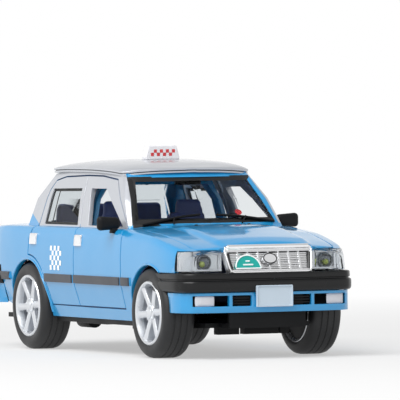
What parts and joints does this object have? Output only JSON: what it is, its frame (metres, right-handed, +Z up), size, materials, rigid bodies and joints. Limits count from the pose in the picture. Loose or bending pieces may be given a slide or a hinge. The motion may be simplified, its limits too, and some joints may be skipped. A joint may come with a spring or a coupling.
{
  "type": "toy taxi saloon",
  "caption": "Small cast toy taxi saloon with opening doors, bonnet and boot lid, a roof sign, rolling wheels and a pull-back motor.",
  "frame": {"origin": "middle of the car's length and width, on the ground under the tyres", "axes": "+X to the front of the car, +Y to its left side, +Z up"},
  "size_m": [0.147, 0.0628, 0.0592],
  "materials": {
    "blue_paint": "gloss",
    "silver_paint": "gloss",
    "white_plastic": "gloss",
    "clear_plastic": "gloss",
    "black_plastic": "satin",
    "lamp_white": "gloss",
    "plated_plastic": "plated",
    "teal_plastic": "gloss",
    "plate_white": "satin",
    "plate_yellow": "satin",
    "lamp_clear": "gloss",
    "led_resin": "gloss",
    "lamp_red": "gloss",
    "cabin_plastic": "matte",
    "steel": "plain",
    "board_green": "satin",
    "seat_plastic": "matte",
    "grey_plastic": "satin",
    "tyre": "matte",
    "gear_plastic": "satin",
    "motor_plastic": "satin",
    "motor_grey": "satin"
  },
  "bodies": {
    "car": {"body_shell": "blue_paint", "roof_panel": "silver_paint", "roof_sign": "white_plastic", "windscreen": "clear_plastic", "rear_window": "clear_plastic", "wipers": "black_plastic", "front_bumper": "black_plastic", "front_valance": "blue_paint", "rear_bumper": "black_plastic", "rear_valance": "blue_paint", "lower_grille": "black_plastic", "fog_lamps": "lamp_white", "grille": "plated_plastic", "permit_badge": "teal_plastic", "front_plate": "plate_white", "headlamp_lenses": "lamp_clear", "headlamp_bowls": "plated_plastic", "lamp_leds": "led_resin", "tail_lamps": "lamp_red", "chassis": "black_plastic", "battery_cover": "black_plastic", "button_cells": "steel", "circuit_board": "board_green", "interior_tub": "cabin_plastic", "hinge_pins": "steel", "engine_bay": "cabin_plastic", "front_seats": "seat_plastic", "rear_bench": "seat_plastic", "dashboard": "cabin_plastic", "steering_wheel": "black_plastic", "interior_mirror": "grey_plastic", "motor_case": "motor_plastic", "motor_lid": "motor_grey", "screws": "steel"},
    "front_left_door_body": {"front_left_door": "blue_paint", "front_left_card": "cabin_plastic", "left_mirror": "black_plastic"},
    "front_right_door_body": {"front_right_door": "blue_paint", "front_right_card": "cabin_plastic", "right_mirror": "black_plastic"},
    "rear_left_door_body": {"rear_left_door": "blue_paint", "rear_left_card": "cabin_plastic", "rear_left_glass": "clear_plastic"},
    "rear_right_door_body": {"rear_right_door": "blue_paint", "rear_right_card": "cabin_plastic", "rear_right_glass": "clear_plastic"},
    "bonnet_body": {"bonnet": "blue_paint", "bonnet_hinges": "steel"},
    "boot_body": {"boot_lid": "blue_paint", "boot_hinges": "steel", "rear_plate": "plate_yellow"},
    "front_wheels": {"front_axle": "steel", "front_rims": "plated_plastic", "front_tyres": "tyre"},
    "rear_wheels": {"rear_axle": "steel", "rear_rims": "plated_plastic", "rear_tyres": "tyre", "drive_gear": "gear_plastic"},
    "spring_drum_body": {"spring_drum": "gear_plastic", "mainspring": "steel"}
  },
  "joints": [
    {"name": "front_left_door_hinge", "type": "hinge", "parent": "car", "child": "front_left_door_body", "pos_m": [0.02395, 0.0256, 0.025], "axis": [0, 0, -1], "range_deg": [0, 50]},
    {"name": "front_right_door_hinge", "type": "hinge", "parent": "car", "child": "front_right_door_body", "pos_m": [0.02395, -0.0256, 0.025], "axis": [0, 0, 1], "range_deg": [0, 50]},
    {"name": "rear_left_door_hinge", "type": "hinge", "parent": "car", "child": "rear_left_door_body", "pos_m": [-0.01028, 0.0256, 0.025], "axis": [0, 0, -1], "range_deg": [0, 50]},
    {"name": "rear_right_door_hinge", "type": "hinge", "parent": "car", "child": "rear_right_door_body", "pos_m": [-0.01028, -0.0256, 0.025], "axis": [0, 0, 1], "range_deg": [0, 50]},
    {"name": "bonnet_hinge", "type": "hinge", "parent": "car", "child": "bonnet_body", "pos_m": [0.0316, 0, 0.0348], "axis": [0, -1, 0], "range_deg": [0, 50]},
    {"name": "boot_hinge", "type": "hinge", "parent": "car", "child": "boot_body", "pos_m": [-0.05296, 0, 0.0355], "axis": [0, 1, 0], "range_deg": [0, 55]},
    {"name": "front_axle_roll", "type": "hinge", "parent": "car", "child": "front_wheels", "pos_m": [0.047, 0, 0.0127], "axis": [0, 1, 0], "continuous": true},
    {"name": "rear_axle_roll", "type": "hinge", "parent": "car", "child": "rear_wheels", "pos_m": [-0.041, 0, 0.0127], "axis": [0, 1, 0], "continuous": true},
    {"name": "spring_drum_turn", "type": "hinge", "parent": "car", "child": "spring_drum_body", "pos_m": [-0.03435, 0, 0.0127], "axis": [0, 1, 0], "continuous": true}
  ],
  "couplings": [
    {"joint": "spring_drum_turn", "follows": "rear_axle_roll", "ratio": -0.71429}
  ]
}
